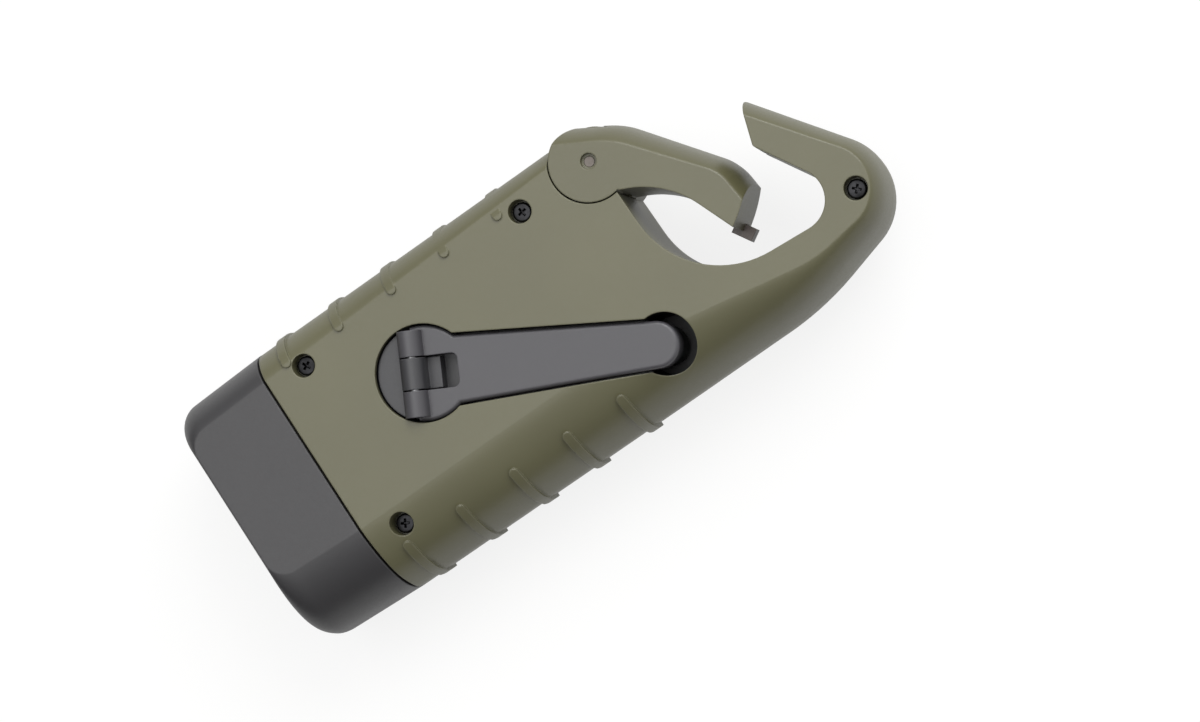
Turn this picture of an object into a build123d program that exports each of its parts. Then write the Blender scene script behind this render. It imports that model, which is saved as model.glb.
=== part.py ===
from build123d import *
import math
import os

# Hand crank flashlight, in millimetres. It lies on its rear face, crank side up.
# +X points out of the lens, -Y is the side with the spring gate, +Z is up.
# The origin is under the middle of the part, on the surface it lies on.

# ---- body ----
part_length = 142.0
body_width = 55.0
body_height = 33.0
parting_height = 17.0
head_length = 21.2
wall = 2.2
floor_thickness = 3.8
seam_gap = 0.5
fit_clearance = 0.3
running_clearance = 0.1
slide_clearance = 0.05

half_width = body_width / 2
front_x = part_length / 2
nose_x = -part_length / 2
seam_x = front_x - head_length

# plan outline at the parting line, where the body is widest
waist_x = -12.0
waist_draw = 0.3
waist_radius = 400.0
hip_x = -46.0
hip_draw = 0.6
hip_radius = 60.0
nose_overhang = 7.67
nose_corner_y = 17.4
nose_radius = 12.0
gate_knee_x = -52.6
gate_knee_y = -18.7
gate_knee_radius = 10.0
gate_heel_x = -31.0
gate_heel_radius = 15.0

# flat crown of the crank side: how far its edge lies inside the parting outline
crown_right = 13.9
crown_left = 7.0
crown_waist_radius = 60.0
crown_hip_x = -51.0
crown_hip = 7.5
crown_hip_radius = 25.0
crown_nose_shift = 4.0
crown_nose_drop = 1.2
crown_nose_radius = 8.2
crown_knee_shift = (2.1, 2.6)
crown_knee_radius = 8.0
crown_heel_shift = 1.0
crown_heel = 4.0
crown_heel_radius = 20.0

# flat rear face, drawn in by one amount all round
base_inset = 4.5
base_nose_radius = 8.0

# how far each level is drawn in: (share of the height, share of the inset)
crown_profile = (
    (0.0, 0.0),
    (0.31, 0.05),
    (0.62, 0.22),
    (0.84, 0.5),
    (0.955, 0.78),
    (1.0, 1.0),
)
base_profile = ((0.0, 0.0), (0.40, 0.08), (0.75, 0.36), (0.94, 0.76), (1.0, 1.0))

# the hook is thinner than the body: its rear face steps up
hook_rear_height = 12.0
hook_step_start_x = -22.0
hook_step_end_x = -40.0
hook_step_radius = 9.0

# raised grip ribs, five down each flank
rib_count = 5
rib_pitch = 12.5
rib_first_x = 44.3
rib_width = 1.9
rib_height = 0.5
rib_inner_y = 20.2
rib_end_margin = 3.5

# ---- carabiner opening ----
tip_inner = (-53.2, -4.2)
tip_outer = (-56.3, -14.0)
tip_inner_radius = 0.8
tip_slope = (tip_outer[0] - tip_inner[0]) / (tip_outer[1] - tip_inner[1])
loop_nose_corner = (-64.6, 15.3)
loop_nose_radius = 6.0
loop_throat_corner = (-27.6, 12.9)
loop_throat_radius = 19.0
loop_wall_x = -26.4

# ---- gate ----
gate_boss_radius = 7.8
gate_pivot_x = -25.9
gate_open_angle = 31.0
gate_gap = 0.35
gate_inner_start = (-31.4, -13.9)
gate_inner_corner = (-40.5, -14.9)
gate_inner_radius = 19.0
gate_rear_gap = 0.4
gate_web_start = 1.5
lug_radius = 7.2
lug_top = 26.0
gate_pin_radius = 1.0
gate_pin_hole_radius = 1.55
gate_pin_sink = 1.1
latch_depth = 4.2
latch_width = 2.6
latch_height = 4.0
latch_reach = 1.7
latch_clearance = 0.45
spring_wire = 0.7
spring_turns = 3
spring_gap = 0.55
spring_radius = 2.1
spring_pocket_radius = 3.2

gate_pivot = (gate_pivot_x, -(half_width - gate_boss_radius))
gate_pivot_y = gate_pivot[1]
gate_bottom = hook_rear_height + gate_rear_gap

# ---- crank ----
hub_x = 23.0
hub_y = -4.4
arm_angle = 152.8
hub_recess_radius = 9.5
hub_floor_height = 23.8
recess_wall = 1.6
tray_rim = 1.2
disc_thickness = 2.5
disc_gap = 0.3
land_drop = 1.5
hinge_offset = 1.9
hinge_drop = 0.1
hinge_barrel_radius = 2.4
hinge_pin_radius = 0.9
hinge_length = 16.6
knuckle_width = 6.0
knuckle_back = 3.0
knuckle_front = 4.9
knuckle_step_drop = 2.6
window_reach = 8.7
window_corner = 1.2
flare_thickness = 1.8
arm_drop = 0.7
arm_thickness = 5.2
arm_root_half_width = 7.0
arm_tip_radius = 4.5
arm_reach = 45.2
arm_edge_round = 0.8
slot_clearance = 0.45
well_reach = 46.9
well_radius = 6.0
well_floor_height = 14.4
knob_radius = 3.9
knob_bottom = 15.2
knob_pin_radius = 1.2
knob_pin_head_radius = 2.2
knob_pin_head_height = 1.0
knob_pin_sink = 1.4

hinge_height = body_height - hinge_drop
arm_top = body_height - arm_drop
arm_bottom = arm_top - arm_thickness
slot_floor = arm_bottom - slot_clearance
disc_bottom = hub_floor_height + disc_gap
disc_top = disc_bottom + disc_thickness
disc_radius = hub_recess_radius - fit_clearance

# ---- gear train and generator ----
crank_shaft_radius = 2.0
crank_shaft_bottom = 9.0
bush_radius = 3.2
clip_radius = 3.4
clip_thickness = 0.6
gear_play = 0.6
crank_gear_thickness = 3.0
wheel_thickness = 2.0
rotor_gear_thickness = 1.8
first_module = 0.6
second_module = 0.5
crank_gear_teeth = 48
first_pinion_teeth = 12
first_wheel_teeth = 40
second_pinion_teeth = 10
second_wheel_teeth = 36
rotor_pinion_teeth = 10
first_axle_direction = 210.0
second_axle_direction = 150.0
rotor_direction = 60.0
backlash = 0.12
axle_radius = 1.0
axle_bottom = 4.4
axle_top = 24.0
post_radius = 2.2
rotor_shaft_radius = 0.75
rotor_shaft_top = 17.4
magnet_radius = 5.8
magnet_height = 6.0
stator_radius = 9.0
stator_height = 7.4
stator_wall = 0.6
air_gap = 0.7
coil_height = 5.0

# ---- light ----
lens_width = 43.0
lens_height = 23.0
lens_thickness = 2.0
lens_corner = 9.0
front_wall = 2.6
lens_rim = 1.6
seal_thickness = 0.6
seal_width = 1.2
led_board_thickness = 1.6
led_spacing = 12.6
led_radius = 2.5
led_length = 6.0
led_flange = 1.0
cup_front_radius = 6.0
cup_back_radius = 2.9
reflector_flange = 1.6
lip_length = 3.2
lip_thickness = 1.3
lip_clearance = 0.15

# ---- electrics ----
board_thickness = 1.2
board_bottom = 6.8
board_x = (27.2, 47.6)
board_y = (-6.0, half_width - 14.7)
board_post_radius = 2.4
board_screw_inset = 2.8
board_screw_radius = 0.9
board_screw_head_radius = 1.8
board_screw_head_height = 1.0
chip_x = (38.5, 43.5)
chip_y = (3.5, 7.5)
chip_height = 1.5
capacitor_place = (34.5, -2.5)
capacitor_radius = 2.5
capacitor_height = 6.0
diode_count = 4
diode_x = (33.2, 35.8)
diode_y = 2.0
diode_pitch = 2.6
diode_width = 1.5
diode_height = 1.1
cell_radius = 6.8
cell_length = 5.3
cell_count = 3
cell_gap = 0.1
wrap_thickness = 0.25
battery_x = 21.6
battery_y = -half_width + 12.3
wire_radius = 0.55
wire_bend = 1.6
wire_landing_x = 28.6
led_wire_places = ((45.5, -1.0), (45.5, 1.5))
led_wire_height = 13.0
battery_wire_y = -12.0
battery_wire_out = 2.8
battery_landing = (40.5, -4.0)
battery_return_y = 1.0
coil_wire_heights = (12.2, 10.0)
coil_wire_step_x = 16.0
coil_return_y = 6.0
solar_holes = ((21.5, 7.9), (21.5, 4.4))
solar_landings = (28.6, 31.0)
solar_wire_heights = (12.2, 14.6)

# ---- rear face ----
solar_x = 4.5
solar_length = 42.0
solar_width = 34.0
solar_corner = 3.0
solar_recess_depth = 2.0
solar_cell_thickness = 1.0
window_thickness = 0.7
window_sink = 0.2
button_x = 38.0
button_y = 1.0
button_radius = 5.0
button_sink = 0.4
button_flange = 1.0
button_flange_thickness = 0.9
button_travel = 0.8
switch_size = 6.0
switch_gap = 0.1
button_nub = 0.1
plunger_radius = 1.6
plunger_height = 0.8

# ---- case screws: place, height of the head's seat and of the tip ----
body_screw_tip = 7.0
hook_screw_tip = 13.8
body_screws = (
    (seam_x - 8.0, -half_width + 8.7, 29.4, body_screw_tip),
    (seam_x - 7.1, half_width - 10.5, 27.6, body_screw_tip),
    (-9.7, -half_width + 8.2, 29.4, body_screw_tip),
)
hook_screw = (nose_x + 6.3, half_width - 14.2, 29.4, hook_screw_tip)
case_screws = (*body_screws, hook_screw)
screw_head_radius = 1.9
screw_head_height = 1.6
screw_shank_radius = 1.1
screw_hole_radius = 1.3
screw_sink_radius = 2.3
screw_boss_radius = 3.6
cross_width = 0.6
cross_length = 2.4
cross_depth = 0.9


def outline(corners):
    """A closed plan outline: straight sides joined by round corners."""
    points = [(x, y) for x, y, radius in corners]
    radii = [radius for x, y, radius in corners]
    return make_face(FilletPolyline(*points, radius=radii, close=True).edges())


def prism(corners, bottom, top):
    """An outline pulled straight up between two heights."""
    return Pos(0, 0, bottom) * extrude(outline(corners), top - bottom)


def drum(x, y, radius, bottom, top):
    """An upright cylinder between two heights."""
    return Pos(x, y, bottom) * extrude(Circle(radius), top - bottom)


def ring(x, y, outer, inner, bottom, top):
    """An upright tube between two heights."""
    return drum(x, y, outer, bottom, top) - drum(x, y, inner, bottom - 1, top + 1)


def block(x, y, z):
    """A box from pairs of lowest and highest values."""
    size = (x[1] - x[0], y[1] - y[0], z[1] - z[0])
    return Pos((x[0] + x[1]) / 2, (y[0] + y[1]) / 2, (z[0] + z[1]) / 2) * Box(*size)


def blend(start, end, share):
    """Corners part of the way from one outline to another."""
    return [
        tuple(a + (b - a) * share for a, b in zip(one, other))
        for one, other in zip(start, end)
    ]


# ---- the body's outer form ----
def wide_corners():
    """The parting outline, which the closed gate completes."""
    return [
        (seam_x, half_width, 0),
        (waist_x, half_width - waist_draw, waist_radius),
        (hip_x, half_width - hip_draw, hip_radius),
        (nose_x - nose_overhang, nose_corner_y, nose_radius),
        (gate_knee_x, gate_knee_y, gate_knee_radius),
        (gate_heel_x, -half_width, gate_heel_radius),
        (seam_x, -half_width, 0),
    ]


def crown_corners():
    """The edge of the flat crown on the crank side."""
    wide = wide_corners()
    return [
        (seam_x, half_width - crown_right, 0),
        (waist_x, half_width - crown_right - waist_draw, crown_waist_radius),
        (crown_hip_x, half_width - crown_hip, crown_hip_radius),
        (wide[3][0] + crown_nose_shift, wide[3][1] - crown_nose_drop, crown_nose_radius),
        (wide[4][0] + crown_knee_shift[0], wide[4][1] + crown_knee_shift[1], crown_knee_radius),
        (wide[5][0] + crown_heel_shift, wide[5][1] + crown_heel, crown_heel_radius),
        (seam_x, -half_width + crown_left, 0),
    ]


def base_corners():
    """The edge of the flat rear face."""
    wide = wide_corners()
    return [
        (seam_x, half_width - base_inset, 0),
        (waist_x, wide[1][1] - base_inset, waist_radius),
        (hip_x, wide[2][1] - base_inset, hip_radius),
        (wide[3][0] + base_inset, wide[3][1] - base_inset / 4, base_nose_radius),
        (wide[4][0] + base_inset / 2, wide[4][1] + base_inset * 0.8, crown_knee_radius),
        (wide[5][0], wide[5][1] + base_inset, gate_heel_radius),
        (seam_x, -half_width + base_inset, 0),
    ]


def stack(wide, far, profile, height):
    """A solid through outlines that draw in from the parting line to one face."""
    faces = []
    for rise, share in profile:
        z = parting_height + rise * (height - parting_height)
        faces.append(Pos(0, 0, z) * outline(blend(wide, far, share)))
    return loft(faces)


def upper_form():
    """The crank half of the whole outline, without any opening."""
    return stack(wide_corners(), crown_corners(), crown_profile, body_height)


def lower_form():
    """The rear half of the whole outline, without any opening."""
    return stack(wide_corners(), base_corners(), base_profile, 0)


def sleeve(inset, back_x, end_x, upper):
    """The body's cross-section drawn in by a wall, as a straight length along X."""
    right = crown_right if upper else base_inset
    left = crown_left if upper else base_inset
    profile = crown_profile if upper else base_profile
    height = body_height - inset if upper else inset
    y = half_width - inset
    wide = [(back_x, y, 0), (end_x, y, 0), (end_x, -y, 0), (back_x, -y, 0)]
    far = [
        (back_x, y - right, 0),
        (end_x, y - right, 0),
        (end_x, left - y, 0),
        (back_x, left - y, 0),
    ]
    return stack(wide, far, profile, height)


def ribs(upper):
    """Grip ribs that stand on both flanks of one half."""
    grown = sleeve(-rib_height, nose_x, seam_x, upper)
    low, high = (parting_height, body_height + 1) if upper else (parting_height / 2, parting_height)
    bars = []
    for index in range(rib_count):
        x = rib_first_x - index * rib_pitch
        for side in (-1, 1):
            reach = half_width - rib_inner_y + rib_end_margin
            slot = Pos(x, side * (rib_inner_y + reach / 2), low) * Rot(0, 0, 90)
            bars.append(slot * extrude(SlotOverall(reach, rib_width), high - low))
    return Part() + [bar & grown for bar in bars]


def loop_corners():
    """The carabiner opening with its mouth, out past the gate side."""
    out_y = -body_width
    mouth_x = tip_inner[0] + tip_slope * (out_y - tip_inner[1])
    return [
        (*tip_inner, tip_inner_radius),
        (*loop_nose_corner, loop_nose_radius),
        (*loop_throat_corner, loop_throat_radius),
        (loop_wall_x, out_y, 0),
        (mouth_x, out_y, 0),
    ]


def hook_step():
    """What is cut away behind the hook, up to its raised rear face."""
    corners = [
        (nose_x * 2, -body_height, 0),
        (nose_x * 2, hook_rear_height, 0),
        (hook_step_end_x, hook_rear_height, hook_step_radius),
        (hook_step_start_x, 0, hook_step_radius),
        (hook_step_start_x, -body_height, 0),
    ]
    side = Plane.XZ * outline(corners)
    return extrude(side, body_width, both=True)


def on_gate(radius, angle):
    """The point at a distance and an angle from the gate's pivot, 0 pointing to the nose."""
    turn = math.radians(angle)
    return (gate_pivot_x - radius * math.cos(turn), gate_pivot_y + radius * math.sin(turn))


def latch_corner():
    """Where the closed gate's end meets its inner edge."""
    drop = gate_gap * 3
    return (tip_inner[0] - tip_slope * drop + gate_gap, tip_inner[1] - drop)


def latch_notch():
    """The notch in the hook's tip that takes the gate's latch."""
    x, y = latch_corner()
    reach = math.hypot(x - gate_pivot_x, y - gate_pivot_y) + latch_reach + latch_clearance
    low = parting_height - latch_height / 2 - latch_clearance
    high = parting_height + latch_height / 2 + latch_clearance
    path = ring(*gate_pivot, reach, reach - latch_depth * 2, low, high)
    tip = block((nose_x, tip_inner[0] + latch_reach), (y - latch_width, half_width), (low, high))
    return path & tip


def upper_half():
    """The crank half of the body with its ribs, the opening and the gate's lug."""
    form = outer_solid_upper + ribs(True) - prism(loop_corners(), -1, body_height + 1)
    pocket_radius = gate_boss_radius + fit_clearance
    form -= drum(*gate_pivot, pocket_radius, lug_top, body_height + 1)
    groove = ring(*gate_pivot, pocket_radius, lug_radius, parting_height, lug_top)
    form -= groove & block((nose_x, gate_pivot_x), (-body_width, body_width), (0, body_height))
    form += drum(*gate_pivot, lug_radius, parting_height, lug_top)
    return form - latch_notch()


def lower_half():
    """The rear half of the body with its ribs, the opening and the gate's seat."""
    form = outer_solid_lower - hook_step()
    seat_height = gate_bottom - fit_clearance
    seat = drum(*gate_pivot, gate_boss_radius, 0, seat_height) & form
    form = form + ribs(False) - prism(loop_corners(), -1, body_height + 1)
    form -= drum(*gate_pivot, gate_boss_radius + fit_clearance, seat_height, parting_height + 1)
    return form + seat - latch_notch()


# ---- the crank's frame: arm along local +X, hub at local zero ----
crank_place = Pos(hub_x, hub_y, 0) * Rot(0, 0, arm_angle)


def arm_plan(grow):
    """The arm's tapered plan, grown all round by a clearance."""
    corners = [
        (-hinge_offset, arm_root_half_width + grow, 0),
        (arm_reach, arm_tip_radius + grow, 0),
        (arm_reach, -arm_tip_radius - grow, 0),
        (-hinge_offset, -arm_root_half_width - grow, 0),
    ]
    return outline(corners) + Pos(arm_reach, 0) * Circle(arm_tip_radius + grow)


def crank_recess(grow, deepen):
    """The hub's recess, the arm's slot and the knob's well, grown by a wall where asked."""
    top = body_height + 1
    slot = Pos(0, 0, slot_floor - deepen) * extrude(arm_plan(slot_clearance + grow), top)
    hub = drum(0, 0, hub_recess_radius + grow, hub_floor_height - deepen, top)
    well = drum(well_reach, 0, well_radius + grow, well_floor_height - deepen, top)
    return crank_place * (hub + slot + well)


def tray_form(grow):
    """The crank tray's outer form under the case's rim, grown by a clearance."""
    depth = recess_wall + grow
    return crank_recess(depth, depth) & Pos(0, 0, -tray_rim) * outer_solid


# ---- gear places ----
def step_from(place, distance, direction):
    """The point at a distance and a direction from another point."""
    turn = math.radians(direction)
    return (place[0] + distance * math.cos(turn), place[1] + distance * math.sin(turn))


hub = (hub_x, hub_y)
first_distance = first_module * (crank_gear_teeth + first_pinion_teeth) / 2
second_distance = second_module * (first_wheel_teeth + second_pinion_teeth) / 2
rotor_distance = second_module * (second_wheel_teeth + rotor_pinion_teeth) / 2
first_axle = step_from(hub, first_distance, first_axle_direction)
second_axle = step_from(first_axle, second_distance, second_axle_direction)
rotor_axle = step_from(second_axle, rotor_distance, rotor_direction)

crank_gear_top = hub_floor_height - recess_wall - gear_play
crank_gear_bottom = crank_gear_top - crank_gear_thickness
wheel_top = crank_gear_bottom - gear_play
wheel_bottom = wheel_top - wheel_thickness
rotor_gear_top = wheel_bottom - gear_play
rotor_gear_bottom = rotor_gear_top - rotor_gear_thickness
stator_top = rotor_gear_bottom - gear_play
stator_bottom = stator_top - stator_height
magnet_bottom = stator_bottom + (stator_height - magnet_height) / 2
cavity_back_x = -16.0


def gear_face(teeth, module, gap_direction, gap):
    """A spur gear's face with involute flanks, a gap or a tooth at a direction."""
    pitch = module * teeth / 2
    base = pitch * math.cos(math.radians(20))
    tip = pitch + 0.95 * module
    root = pitch - 1.2 * module
    flank_start = max(base, root)
    involute = math.tan(math.radians(20)) - math.radians(20)
    half_tooth = math.pi / (2 * teeth) - backlash / (2 * pitch)
    radii = [flank_start + (tip - flank_start) * step / 3 for step in range(4)]
    flank = []
    for radius in radii:
        pressure = math.acos(min(1.0, base / radius))
        flank.append((radius, half_tooth + involute - math.tan(pressure) + pressure))
    flank = [(root, flank[0][1])] + flank if root < flank_start else flank
    shift = math.pi / teeth if gap else 0
    points = []
    for tooth in range(teeth):
        middle = math.radians(gap_direction) + shift + 2 * math.pi * tooth / teeth
        for radius, turn in flank:
            points.append((radius * math.cos(middle - turn), radius * math.sin(middle - turn)))
        for radius, turn in reversed(flank):
            points.append((radius * math.cos(middle + turn), radius * math.sin(middle + turn)))
    return make_face(Polyline(*points, close=True).edges())


def gear(place, face, bottom, top):
    """A gear's face pulled up between two heights at its axle."""
    return Pos(place[0], place[1], bottom) * extrude(face, top - bottom)


# ---- shells ----
def lip(upper):
    """The thin sleeve at the body's end that the head slides over."""
    inner = wall + lip_clearance + lip_thickness
    sleeve_out = sleeve(wall + lip_clearance, seam_x - wall, seam_x + lip_length, upper)
    root = sleeve(wall / 2, seam_x - 1.5 * wall, seam_x, upper)
    return sleeve_out + root - sleeve(inner, seam_x - 3 * wall, seam_x + 2 * lip_length, upper)


def front_shell():
    """The crank half of the case."""
    cavity = sleeve(wall, cavity_back_x, seam_x + 1, True)
    shell = upper_half() - cavity
    inside = Part()
    for x, y, seat, tip in body_screws:
        inside += drum(x, y, screw_boss_radius, parting_height, body_height)
    inside += drum(*first_axle, post_radius, crank_gear_top + gear_play, body_height)
    inside += drum(*second_axle, post_radius, wheel_top + gear_play, body_height)
    shell += inside & outer_solid
    shell += lip(True)
    shell -= tray_form(slide_clearance)
    shell -= crank_recess(0, 0)
    shell -= drum(*first_axle, axle_radius, 0, axle_top)
    shell -= drum(*second_axle, axle_radius, 0, axle_top)
    for x, y, seat, tip in case_screws:
        shell -= drum(x, y, screw_sink_radius, seat, body_height + 1)
        shell -= drum(x, y, screw_hole_radius, 0, body_height)
    spring_seat = lug_top - spring_length() - fit_clearance
    shell -= drum(*gate_pivot, gate_pin_radius, 0, body_height)
    shell -= drum(*gate_pivot, spring_pocket_radius, spring_seat, body_height)
    return shell


def crank_tray():
    """The dark tray under the crank, with the hub's floor, the slot and the knob's well."""
    tray = tray_form(0)
    tray += drum(*rotor_axle, post_radius, rotor_gear_top + gear_play, slot_floor)
    tray -= crank_recess(0, 0)
    tray -= drum(*hub, bush_radius, 0, body_height)
    bearing_top = rotor_shaft_top + gear_play
    return tray - drum(*rotor_axle, rotor_shaft_radius + slide_clearance, 0, bearing_top)


def rear_shell():
    """The rear half of the case, with the posts that carry the works."""
    cavity = sleeve(wall, cavity_back_x, seam_x + 1, False)
    cavity &= block((nose_x, front_x), (-half_width, half_width), (floor_thickness, body_height))
    shell = lower_half() - cavity
    floor = floor_thickness - 1
    posts = Part()
    for x, y, seat, tip in body_screws:
        posts += drum(x, y, screw_boss_radius, floor, parting_height)
    posts += drum(*first_axle, post_radius, floor, wheel_bottom - gear_play)
    posts += drum(*second_axle, post_radius, floor, rotor_gear_bottom - gear_play)
    posts += drum(*rotor_axle, post_radius, floor, magnet_bottom - gear_play)
    posts += drum(*hub, crank_shaft_radius + wall / 2, floor, crank_shaft_bottom + wall)
    posts += ring(*rotor_axle, stator_radius, stator_radius - wall, floor, stator_bottom)
    for x, y in board_screws():
        posts += drum(x, y, board_post_radius, floor, board_bottom)
    battery_length = cell_count * (cell_length + cell_gap)
    cradle = block(
        (battery_x + cell_length / 2, battery_x + battery_length - cell_length / 2),
        (battery_y - cell_radius, battery_y + cell_radius),
        (floor, battery_height()),
    )
    posts += cradle - battery_tube(cell_radius + wrap_thickness)
    shell += posts & outer_solid_lower
    shell += lip(False)
    cup_radius = well_radius + recess_wall + fit_clearance
    cup_floor = well_floor_height - recess_wall - fit_clearance
    shell -= crank_place * drum(well_reach, 0, cup_radius, cup_floor, body_height)
    shell -= drum(*hub, crank_shaft_radius + slide_clearance, crank_shaft_bottom - gear_play, body_height)
    shell -= drum(*first_axle, axle_radius, axle_bottom, body_height)
    shell -= drum(*second_axle, axle_radius, axle_bottom, body_height)
    shell -= drum(*rotor_axle, rotor_shaft_radius + slide_clearance, axle_bottom - gear_play, body_height)
    for x, y, seat, tip in case_screws:
        shell -= drum(x, y, screw_shank_radius, tip, body_height)
    for x, y in solar_holes:
        shell -= drum(x, y, wire_radius + fit_clearance, 0, floor_thickness + 1)
    for x, y in board_screws():
        shell -= drum(x, y, board_screw_radius, axle_bottom, body_height)
    recess = rounded_plate(solar_length, solar_width, solar_corner, -1, solar_recess_depth)
    shell -= Pos(solar_x, 0, 0) * recess
    shell -= drum(button_x, button_y, button_radius + running_clearance, -1, floor_thickness + 1)
    flange_radius = button_radius + button_flange + running_clearance
    shell -= drum(button_x, button_y, flange_radius, button_flange_bottom() - slide_clearance, body_height / 4)
    shell -= drum(*gate_pivot, gate_pin_radius, gate_bottom / 2, body_height)
    return shell


def rounded_plate(length, width, corner, bottom, top):
    """A plate with round corners about local zero."""
    face = RectangleRounded(length, width, corner)
    return Pos(0, 0, bottom) * extrude(face, top - bottom)


# ---- electrics ----
def board_screws():
    """The two fixing points of the control board."""
    near = (board_x[1] - board_screw_inset, board_y[1] - board_screw_inset)
    far = (board_x[0] + board_screw_inset, board_y[1] - board_screw_inset)
    return (near, far)


def battery_height():
    """The height of the cells' axis."""
    return floor_thickness + wrap_thickness + cell_radius


def battery_tube(radius):
    """A round bar along the cells' axis."""
    length = cell_count * (cell_length + cell_gap)
    bar = Rot(0, 90, 0) * extrude(Circle(radius), length)
    return Pos(battery_x, battery_y, battery_height()) * bar


def battery_cells():
    """Button cells in a row."""
    cells = []
    for index in range(cell_count):
        x = battery_x + index * (cell_length + cell_gap)
        bar = Rot(0, 90, 0) * extrude(Circle(cell_radius), cell_length)
        cells.append(Pos(x, battery_y, battery_height()) * bar)
    return cells


def battery_wrap():
    """The shrink sleeve round the cells."""
    return battery_tube(cell_radius + wrap_thickness) - battery_tube(cell_radius)


def control_board():
    """The board with the charging and switching parts."""
    board = block(board_x, board_y, (board_bottom, board_bottom + board_thickness))
    for x, y in board_screws():
        board -= drum(x, y, board_screw_radius, 0, body_height)
    return board


def board_screw(x, y):
    """A small pan head screw that holds the board."""
    top = board_bottom + board_thickness
    shank = drum(x, y, board_screw_radius, axle_bottom, top)
    return shank + drum(x, y, board_screw_head_radius, top, top + board_screw_head_height)


def board_parts():
    """A controller chip, four diodes and a capacitor on the board."""
    top = board_bottom + board_thickness
    chip = block(chip_x, chip_y, (top, top + chip_height))
    capacitor = drum(*capacitor_place, capacitor_radius, top, top + capacitor_height)
    diodes = []
    for index in range(diode_count):
        y = diode_y + diode_pitch * index
        diodes.append(block(diode_x, (y, y + diode_width), (top, top + diode_height)))
    return [chip, capacitor] + diodes


def button_flange_bottom():
    """The lower face of the flange that keeps the button in."""
    return floor_thickness - button_flange_thickness


def switch_button():
    """The push button in the rear face."""
    rim = button_flange_bottom()
    cap = drum(button_x, button_y, button_radius, button_sink, rim)
    cap += drum(button_x, button_y, button_radius + button_flange, rim, floor_thickness)
    return cap + drum(button_x, button_y, plunger_radius, rim, floor_thickness + button_nub)


def tact_switch():
    """The switch under the board that the button pushes."""
    half = switch_size / 2
    low = floor_thickness + button_nub + button_travel + switch_gap
    body_low = low + plunger_height
    body = block(
        (button_x - half, button_x + half),
        (button_y - half, button_y + half),
        (body_low, board_bottom),
    )
    return body + drum(button_x, button_y, plunger_radius, low, body_low)


def solar_panel():
    """The dark cell plate in the rear face."""
    margin = 2 * running_clearance
    top = solar_recess_depth
    plate = rounded_plate(
        solar_length - margin,
        solar_width - margin,
        solar_corner,
        top - solar_cell_thickness,
        top,
    )
    return Pos(solar_x, 0, 0) * plate


def solar_window():
    """The clear plate over the solar panel."""
    margin = 2 * running_clearance
    plate = rounded_plate(
        solar_length - margin,
        solar_width - margin,
        solar_corner,
        window_sink,
        window_sink + window_thickness,
    )
    return Pos(solar_x, 0, 0) * plate


# ---- head ----
def head_form(upper):
    """One half of the head's outer form."""
    right = crown_right if upper else base_inset
    left = crown_left if upper else base_inset
    profile = crown_profile if upper else base_profile
    height = body_height if upper else 0
    back = seam_x + seam_gap
    wide = [
        (back, half_width, 0),
        (front_x, half_width - head_taper, head_corner),
        (front_x, head_taper - half_width, head_corner),
        (back, -half_width, 0),
    ]
    far = [
        (back, half_width - right, 0),
        (front_x - head_front_inset, half_width - right - head_taper, head_corner),
        (front_x - head_front_inset, left + head_taper - half_width, head_corner),
        (back, left - half_width, 0),
    ]
    return stack(wide, far, profile, height)


head_taper = 0.8
head_corner = 4.4
head_front_inset = 1.6
optic_height = body_height / 2


def upright_plate(length, height, corner, back_x, end_x):
    """A plate with round corners that faces along X, at the light's height."""
    plate = RectangleRounded(length, height, corner)
    side = Plane(origin=(back_x, 0, optic_height), x_dir=(0, 1, 0), z_dir=(1, 0, 0))
    return extrude(side * plate, end_x - back_x)


lens_front = front_x - front_wall
lens_back = lens_front - lens_thickness
reflector_front = lens_back - seal_thickness
led_board_front = seam_x + lip_length + fit_clearance + led_board_thickness


def head_bezel():
    """The head's moulding: a sleeve with a rim round the lens."""
    head = head_form(True) + head_form(False)
    back = seam_x - wall
    hollow = sleeve(wall, back, reflector_front, True) + sleeve(wall, back, reflector_front, False)
    head -= hollow
    head -= upright_plate(
        lens_width + 2 * running_clearance,
        lens_height + 2 * running_clearance,
        lens_corner,
        reflector_front - wall,
        lens_front,
    )
    head -= upright_plate(
        lens_width - 2 * lens_rim,
        lens_height - 2 * lens_rim,
        lens_corner - lens_rim,
        lens_front - 1,
        front_x + 1,
    )
    return head


def lens():
    """The clear front lens."""
    return upright_plate(lens_width, lens_height, lens_corner, lens_back, lens_front)


def lens_seal():
    """The soft ring that presses the lens on its rim."""
    outer = upright_plate(lens_width, lens_height, lens_corner, reflector_front, lens_back)
    inner = upright_plate(
        lens_width - 2 * seal_width,
        lens_height - 2 * seal_width,
        lens_corner - seal_width,
        reflector_front - 1,
        lens_back + 1,
    )
    return outer - inner


def led_places():
    """The sideways places of the three lamps."""
    return [(index - 1) * led_spacing for index in range(3)]


def reflector():
    """A bright moulding with a cup for each lamp."""
    back = led_board_front
    body = upright_plate(lens_width, lens_height, lens_corner, back, reflector_front)
    flange_back = reflector_front - reflector_flange
    body += sleeve(wall + running_clearance, flange_back, reflector_front, True)
    body += sleeve(wall + running_clearance, flange_back, reflector_front, False)
    for y in led_places():
        cup = Plane(origin=(back, y, optic_height), x_dir=(0, 1, 0), z_dir=(1, 0, 0))
        depth = reflector_front - back
        mouth = cup.offset(depth + 0.01) * Circle(cup_front_radius)
        throat = cup.offset(led_flange) * Circle(cup_back_radius)
        body -= loft([throat, mouth])
        body -= extrude(cup * Circle(led_radius + led_flange), led_flange + 0.01)
    return body


def led_board():
    """The board that carries the lamps."""
    back = led_board_front - led_board_thickness
    return upright_plate(lens_width, lens_height, lens_corner, back, led_board_front)


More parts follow.
